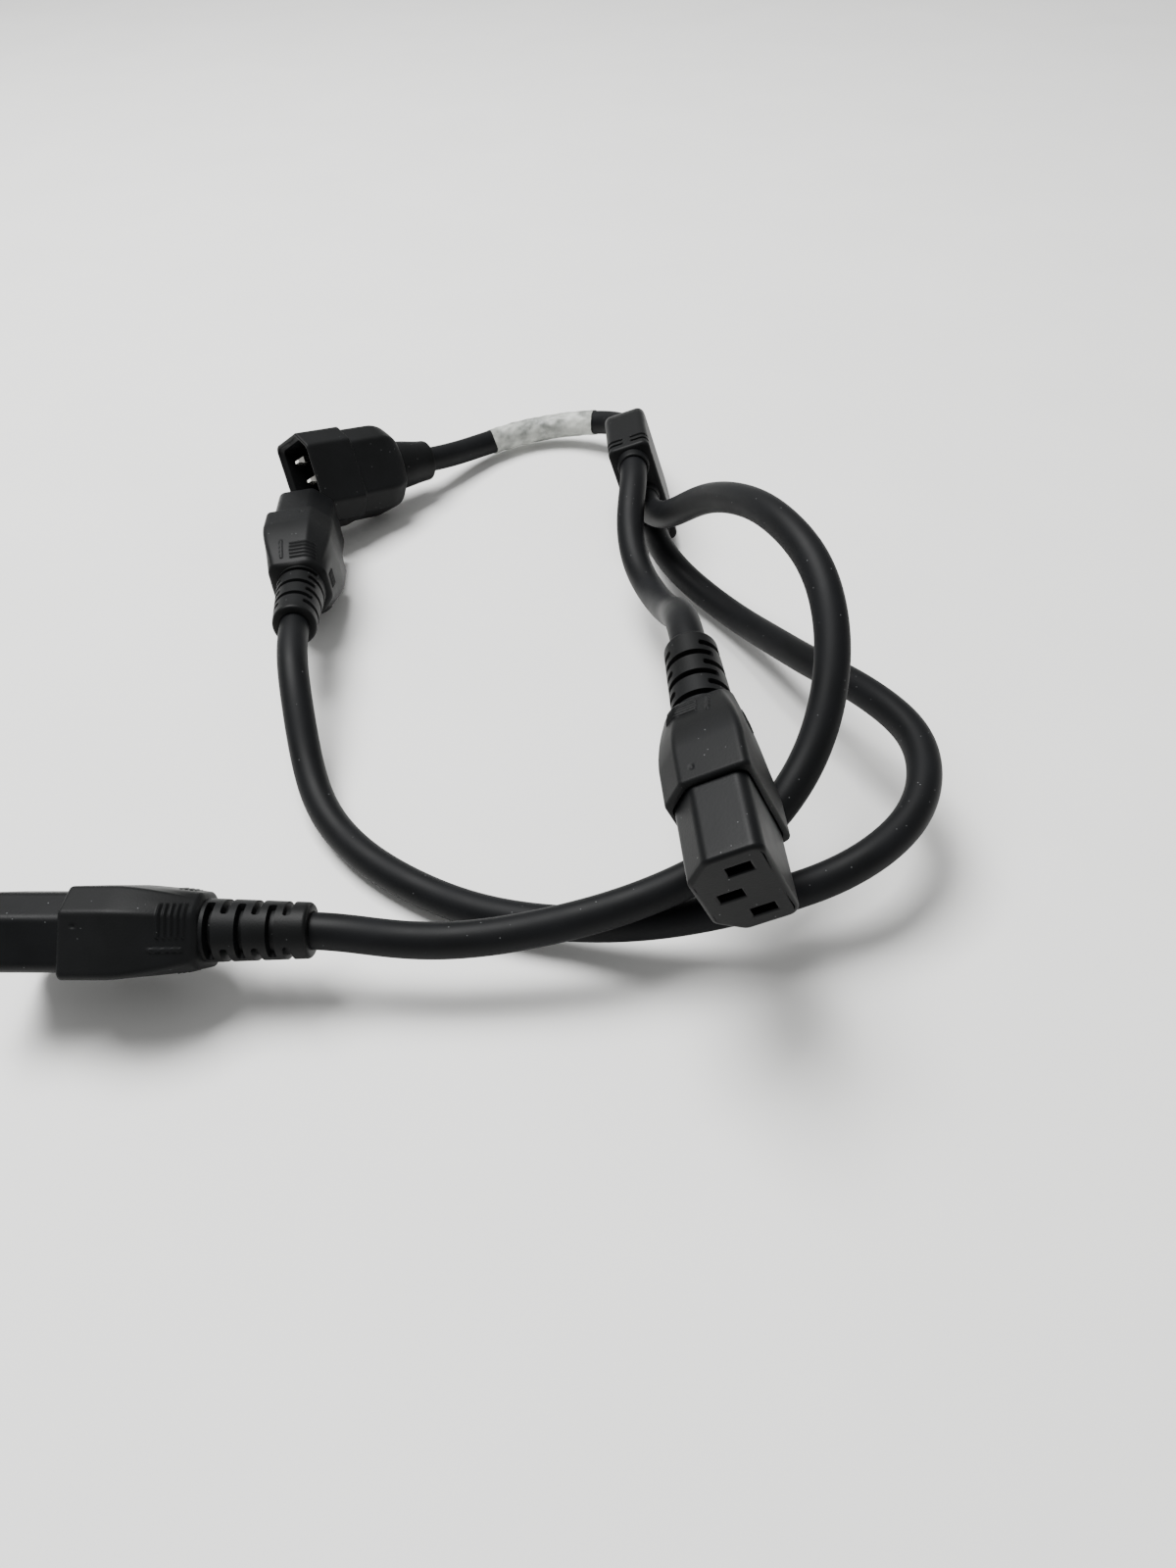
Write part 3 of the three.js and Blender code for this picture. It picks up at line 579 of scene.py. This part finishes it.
# rows by z and columns by y squeezed into the width there; the slots go straight back
def nosePlate():
    s = socketSet
    edge = s["noseEdge"]
    yHalf, zHalf, cut = s["nose"][0] / 2 - edge, s["nose"][1] / 2 - edge, s["chamfer"] - 0.58 * edge
    ys = faceLines(0, yHalf, 47, [abs(y) for y, z in s["slots"]], s["slotHalf"][0])
    zs = faceLines(-zHalf, zHalf, 61, [z for y, z in s["slots"]], s["slotHalf"][1])
    ys = np.concatenate([-ys[:0:-1], ys])
    width = np.where(zs > zHalf - cut, yHalf - (zs - (zHalf - cut)), yHalf)
    corner = s["noseRound"] - edge + 0.1
    bend = np.sqrt(np.clip(corner**2 - (-zHalf + corner - zs) ** 2, 0, None))
    width = width - np.where(zs < -zHalf + corner, corner - bend, 0)
    fixed = s["slotHalf"][0] + slotWall  # columns of the earth slot keep their place
    scale = ((width - fixed) / (yHalf - fixed))[:, None]
    squeezed = fixed + (np.abs(ys) - fixed) * scale
    y = np.sign(ys) * np.where(np.abs(ys) <= fixed, np.abs(ys), squeezed)
    z = np.broadcast_to(zs[:, None], y.shape)
    depth, lead = np.zeros(y.shape), np.zeros(y.shape)
    for slotY, slotZ in s["slots"]:
        gapY, gapZ = np.abs(y - slotY) - s["slotHalf"][0], np.abs(z - slotZ) - s["slotHalf"][1]
        away = np.maximum(gapY, gapZ)
        depth = np.where(away < 0.02, s["slotDepth"], depth)
        lead = np.maximum(lead, np.clip(s["slotLead"] - away, 0, s["slotLead"]) * (away > 0))
    front = np.stack([noseFrontX + 0.001 - depth - lead * 0.8, y, z], -1)
    return gridShell(front, front[..., 0].max() - 12.5)


bodyShell, noseShell, plateShell = socketBody(), noseSkin(), nosePlate()
for letter in "ABC":
    place, node = f"socket{letter}", f"socket_{letter.lower()}"
    body = [shellAt(bodyShell, place)]
    nose = [shellAt(noseShell, place), shellAt(plateShell, place)]
    makePiece(f"{place}Body", body, mouldedPvc, f"{node}_overmould")
    makePiece(f"{place}Nose", nose, carrierPvc, f"{node}_nose")
print("sockets made")

plugSet = {
    "reliefLength": 13,
    "tail": (12.8, 12.4),
    "neck": (15.4, 14.6, 2.2),
    "tailEdge": 0.8,
    "gripLength": 18.5,
    "gripFlat": 11,
    "grip": (26.8, 18.8, 5.2, 2.0),
    "step": 1.4,  # length over which the grip steps out to the shroud
    "shroudLength": 14.5,
    "rim": (28.5, 21, 5.2, 2.0),
    "lip": 0.6,  # rounding of the rim
    "wall": 2,
    "cavity": (4.4, 1.4),  # chamfer and rounding inside the shroud
    "cavityDepth": 15.5,
    "holeRadius": 3.98,
    "holeDepth": 5,
}


# tail, quarter-circle shoulder, grip and shroud, then half a turn over the rim and the cavity
def plugBody():
    p = plugSet
    neckX, lip = p["reliefLength"], p["lip"]
    gripX = neckX + p["gripLength"]
    endX, flatX = gripX + p["shroudLength"], gripX - p["gripFlat"]
    spans = [(0, neckX, 0.4), (neckX, flatX, 0.4), (flatX, gripX - 2, 0.5)]
    spans += [(gripX - 2, gripX + 1, 0.15), (gripX + 1, endX - lip, 0.6)]
    xs = stationsOf(endX - lip, spans)
    tail, neck = ovalReach(*p["tail"]), ovalReach(*p["neck"])
    grip, rim = keyedReach(*p["grip"]), keyedReach(*p["rim"])
    taper = easeBetween(xs, 0, neckX)[:, None]
    shoulder = 1 - arcShort((xs - neckX) / (flatX - neckX))[:, None]
    step = easeBetween(xs, gripX - p["step"], gripX)[:, None]
    reach = (tail * (1 - taper) + neck * taper) * (1 - shoulder) + grip * shoulder
    reach = reach * (1 - step) + rim * step
    reach = reach - p["tailEdge"] * arcShort(xs / p["tailEdge"])[:, None]
    turn = np.linspace(0, math.pi, 13)[1:]
    rimInset = lip * (1 - np.cos(turn))
    over = ringsOf(endX - lip + lip * np.sin(turn), rim[None] - rimInset[:, None])
    cavity = keyedReach(p["rim"][0] - 2 * p["wall"], p["rim"][1] - 2 * p["wall"], *p["cavity"])
    depths = np.linspace(endX - 1.4, endX - p["cavityDepth"], 12)
    inside = ringsOf(depths, np.repeat(cavity[None], len(depths), 0))
    mouth = holeRings(p["holeDepth"], 0, p["holeRadius"])
    return closedLoft(np.concatenate([mouth, ringsOf(xs, reach), over, inside]))


makePiece("plugBody", [shellAt(plugBody(), "plug")], mouldedPvc, "input_plug_overmould")
print("plug made")

blockSet = {
    "depth": 32,
    "height": 34,
    "thickness": 12.6,
    "round": 2.2,
    "shoulder": 7,  # how far the inlet corners are cut back
    "inletEdge": 1.4,
    "outletEdge": 1.0,
    "grooves": (3.2, 2.6, 2),  # first one from the outlet side, their pitch, how many
    "groove": (4.4, 3.2, 0.55, 0.5, 1.0),  # middle across, half sizes, corner, depth
    "outletRows": (11, 0, -11),
    "collarLength": 2.6,
    "collarRadius": 4.6,
    "collarFoot": 0.3,  # how much wider the collar is at its foot
    "collarEdge": 0.6,
    "inletLength": 12,
    "inletTail": (11.4, 11.2),
    "inletFoot": (12.4, 12.0, 2.4),
    "tailEdge": 0.8,
    "holeRadius": 3.98,
    "holeDepth": 5,
}


# flat pad: a box outline by station, its inlet corners on an arc, both ends drawn in on arcs
def blockPad():
    b = blockSet
    back = -b["depth"]
    spans = [(back, back + 2, 0.15), (back + 2, -8, 0.5), (-8, -2, 0.16), (-2, 0, 0.12)]
    xs = stationsOf(0, spans)
    width = b["height"] - 2 * b["shoulder"] * arcShort((xs - back) / (b["shoulder"] * 1.5))
    reach = np.stack([boxReach(w, b["thickness"], b["round"]) for w in width])
    trim = b["inletEdge"] * arcShort((xs - back) / b["inletEdge"])
    trim = trim + b["outletEdge"] * arcShort(-xs / b["outletEdge"])
    reach = reach - trim[:, None]
    first, pitch, count = b["grooves"]
    middle, halfAcross, halfAlong, corner, depth = b["groove"]
    for i in range(count):
        along, across = xs[:, None] + first + pitch * i, np.abs(reach * spokes[None, :, 1]) - middle
        narrow = np.abs(spokes[:, 0]) * reach > b["height"] / 2 - 2.2
        mask = slotMask(along, across, halfAcross, halfAlong, corner, 0.12) * narrow
        reach = reach - depth * mask
    return closedLoft(ringsOf(xs, reach))


# neck over the inlet cord: an oval eased into a squarer one where it meets the pad
def blockInlet():
    b = blockSet
    start, edge = -b["depth"] - b["inletLength"], b["tailEdge"]
    xs = np.linspace(start, -b["depth"] + 3, 40)
    grow = easeBetween(xs, start, -b["depth"] + 2)[:, None]
    reach = ovalReach(*b["inletTail"])[None] * (1 - grow) + ovalReach(*b["inletFoot"])[None] * grow
    reach = reach - (edge * arcShort((xs - start) / edge))[:, None]
    mouth = holeRings(start + b["holeDepth"], start, b["holeRadius"])
    return closedLoft(np.concatenate([mouth, ringsOf(xs, reach)]))


# wall round one outlet cord: a slight cone, its outer edge a quarter circle, then the hole
def blockCollar(row):
    b = blockSet
    top, edge, hole = b["collarRadius"], b["collarEdge"], b["holeRadius"]
    foot, flatX, mouthX = top + b["collarFoot"], b["collarLength"] - edge, b["collarLength"]
    turn = np.linspace(0, math.pi / 2, 6)[1:]
    xs = [[-3], np.linspace(-0.5, flatX, 6), flatX + edge * np.sin(turn)]
    xs = np.concatenate(xs + [[mouthX, mouthX - b["holeDepth"]]])
    radius = [[foot], np.linspace(foot, top, 6), top - edge * (1 - np.cos(turn)), [hole, hole]]
    rings = ringsOf(xs, np.repeat(np.concatenate(radius)[:, None], around, 1))[:, ::4]
    rings[..., 1] += row
    return closedLoft(rings)


blockShells = [blockPad(), blockInlet()] + [blockCollar(row) for row in blockSet["outletRows"]]
laidShells = [shellAt(shell, "block") for shell in blockShells]
makePiece("splitterBody", laidShells, mouldedPvc, "splitter_overmould")
print("splitter made")

cordSet = {
    "radius": 3.9,
    "grip": 9,  # length inside each moulding
    "lead": 5,  # straight length outside it
    "around": 48,
    "step": 0.9,
    "easing": 24,  # passes over the line
    "mouths": {  # in the block: x, row, and which way the cord leaves
        "input": (-44, 0, -1),
        "a": (2.6, 11, 1),
        "b": (2.6, 0, 1),
        "c": (2.6, -11, 1),
    },
    "far": {"input": "plug", "a": "socketA", "b": "socketB", "c": "socketC"},
}


# three points in line: inside the moulding, at its mouth, and a little way out
def mouthRun(place, x, y, direction):
    origin, axes = axesOf(place)
    depths = np.array([-cordSet["grip"], 0, cordSet["lead"]])
    return origin + np.stack([x + direction * depths, np.full(3, y), np.zeros(3)], -1) @ axes


# Catmull-Rom curve through the points, its knots the square root of their spacing apart
def centripetal(points, fine=40):
    ends = np.concatenate([[2 * points[0] - points[1]], points, [2 * points[-1] - points[-2]]])
    out = []
    for p0, p1, p2, p3 in zip(ends, ends[1:], ends[2:], ends[3:]):
        t1 = np.linalg.norm(p1 - p0) ** 0.5
        t2 = t1 + np.linalg.norm(p2 - p1) ** 0.5
        t3 = t2 + np.linalg.norm(p3 - p2) ** 0.5
        t = np.linspace(t1, t2, fine, endpoint=False)[:, None]
        a1 = (t1 - t) / t1 * p0 + t / t1 * p1
        a2 = (t2 - t) / (t2 - t1) * p1 + (t - t1) / (t2 - t1) * p2
        a3 = (t3 - t) / (t3 - t2) * p2 + (t - t2) / (t3 - t2) * p3
        b1 = (t2 - t) / t2 * a1 + t / t2 * a2
        b2 = (t3 - t) / (t3 - t1) * a2 + (t - t1) / (t3 - t1) * a3
        out.append((t2 - t) / (t2 - t1) * b1 + (t - t1) / (t2 - t1) * b2)
    return np.concatenate(out + [points[-1:]])


# the same line by running length, its points a step apart
def evenly(line, step):
    run = np.concatenate([[0], np.cumsum(np.linalg.norm(np.diff(line, axis=0), axis=1))])
    at = np.linspace(0, run[-1], int(round(run[-1] / step)) + 1)
    return np.stack([np.interp(at, run, line[:, k]) for k in range(3)], -1)


# each pass moves a point to the mean of the five about it; the two at each end stay
def eased(line, passes):
    for _ in range(passes):
        line[2:-2] = (line[:-4] + line[1:-3] + line[2:-2] + line[3:-1] + line[4:]) / 5
    return line


# two cross axes along a line: each is the last one less its part along the line there
def carriedAxes(line):
    tangent = np.gradient(line, axis=0)
    tangent /= np.linalg.norm(tangent, axis=1)[:, None]
    side = np.cross(tangent[0], [0, 0, 1.0])
    sides = []
    for t in tangent:
        side = side - (side @ t) * t
        side = side / np.linalg.norm(side)
        sides.append(side)
    sides = np.array(sides)
    return sides, np.cross(tangent, sides)


# one cross axis times the cosine of the turn, plus the other times its sine
def wheelOf(side, above, turn):
    return side * np.cos(turn)[None, :, None] + above * np.sin(turn)[None, :, None]


# circle of the cord's radius carried along its line
def cordShell(line):
    side, above = carriedAxes(line)
    turn = np.linspace(0, 2 * math.pi, cordSet["around"], endpoint=False)
    wheel = wheelOf(side[:, None], above[:, None], turn)
    points, quads, fans = closedLoft(line[:, None] + wheel * cordSet["radius"])
    return points * mm, quads, fans


cordLines = {}
for name, (x, row, direction) in cordSet["mouths"].items():
    start = mouthRun("block", x, row, direction)
    end = mouthRun(cordSet["far"][name], 0, 0, -1)[::-1]
    between = np.array(routes[name], float) + layShift
    curve = centripetal(np.concatenate([start, between, end]))
    cordLines[name] = eased(evenly(curve, cordSet["step"]), cordSet["easing"])

for name, line in cordLines.items():
    shells = [cordShell(line)]
    piece = makePiece(f"cord{name.capitalize()}", shells, jacketPvc, f"cord_{name}")
    x, row, _ = cordSet["mouths"][name]
    exitPoint = laid(np.array([[x, row, 0.0]]), "block")[0]
print("cords made")

labelSet = {
    "from": 37,
    "to": 78.5,
    "radius": 4.12,
    "inside": 0.02,  # gap between film and cord
    "around": 96,
    "rows": 120,
    "unevenEnd": 0.8,
}


# sleeve on the input cord's line: sines along and round it pucker the film and skew its ends
def labelShell():
    line = cordLines["input"]
    side, above = carriedAxes(line)
    low, high = (int(labelSet[end] / cordSet["step"]) for end in ("from", "to"))
    turn = np.linspace(0, 2 * math.pi, labelSet["around"], endpoint=False)
    rows = np.linspace(0, 1, labelSet["rows"])[:, None]
    skew = labelSet["unevenEnd"] * np.sin(2 * turn + 1)[None]
    index = np.clip(low + rows * (high - low) + skew * (rows * 2 - 1), 0, len(line) - 1.001)
    base = index.astype(int)
    part = (index - base)[..., None]

    def mixed(values):
        return values[base] * (1 - part) + values[base + 1] * part

    pucker = 0.10 * np.sin(9 * turn[None] + 14 * rows) * np.sin(31 * rows + 2 * np.cos(turn)[None])
    pucker += 0.07 * np.sin(5 * turn[None] - 40 * rows + 1.3)
    wheel, centre = wheelOf(mixed(side), mixed(above), turn), mixed(line)
    outer = centre + wheel * (labelSet["radius"] + pucker)[..., None]
    inner = centre + wheel * (cordSet["radius"] + labelSet["inside"])
    points, quads, fans = closedLoft(np.concatenate([inner[:1], outer, inner[-1:]]))
    return points * mm, quads, fans


makePiece("labelWrap", [labelShell()], labelFilm, "label_wrap")
print("label made")

studioSet = {
    "world": "#ffffff",
    "worldStrength": 0.48,
    "lampAt": (-0.3, 0.3, 1.15),
    "lampAim": (0, 0, 0),
    "lampPower": 38,
    "lampSize": 0.7,
    "tableReach": 3.0,
}


# painted board, one square well past the view: matte, with a very faint cloud 60 mm across
def makeTable():
    r = studioSet["tableReach"]
    mesh = bpy.data.meshes.new("tableTop")
    mesh.from_pydata([(-r, -r, 0), (r, -r, 0), (r, r, 0), (-r, r, 0)], [], [(0, 1, 2, 3)])
    material, tree, shader = newMaterial("paintedTop", {"Roughness": 0.6, "IOR": 1.45})
    place = addNode(tree, "ShaderNodeTexCoord", {}).outputs["Object"]
    cloudy = {"Vector": place, "Scale": perMm(60), "Detail": 3}
    cloud = addNode(tree, "ShaderNodeTexNoise", cloudy).outputs["Fac"]
    tone = [(0.2, "#e4e4e2"), (0.8, "#e9e9e7")]
    colour = addNode(tree, "ShaderNodeValToRGB", {"Fac": cloud}, tone).outputs["Color"]
    tree.links.new(colour, shader.inputs["Base Color"])
    mesh.materials.append(material)
    table = bpy.data.objects.new("tableTop", mesh)
    bpy.context.scene.collection.objects.link(table)


# square lamp, turned by the yaw and tilt of the line from it to its aim
def makeLamp():
    s = studioSet
    data = bpy.data.lights.new("ceilingLight", "AREA")
    data.shape, data.size, data.energy = "SQUARE", s["lampSize"], s["lampPower"]
    lamp = bpy.data.objects.new("ceilingLight", data)
    bpy.context.scene.collection.objects.link(lamp)
    lamp.location = s["lampAt"]
    direction = np.array(s["lampAim"], float) - np.array(s["lampAt"], float)
    yaw = math.atan2(direction[1], direction[0])
    tilt = math.acos(-direction[2] / np.linalg.norm(direction))
    lamp.rotation_euler = (0, -tilt, yaw)


makeTable()
makeLamp()
world = bpy.context.scene.world or bpy.data.worlds.new("room")
bpy.context.scene.world = world
world.use_nodes = True
background = world.node_tree.nodes["Background"]
background.inputs["Color"].default_value = linear(studioSet["world"])
background.inputs["Strength"].default_value = studioSet["worldStrength"]
print("stage made")
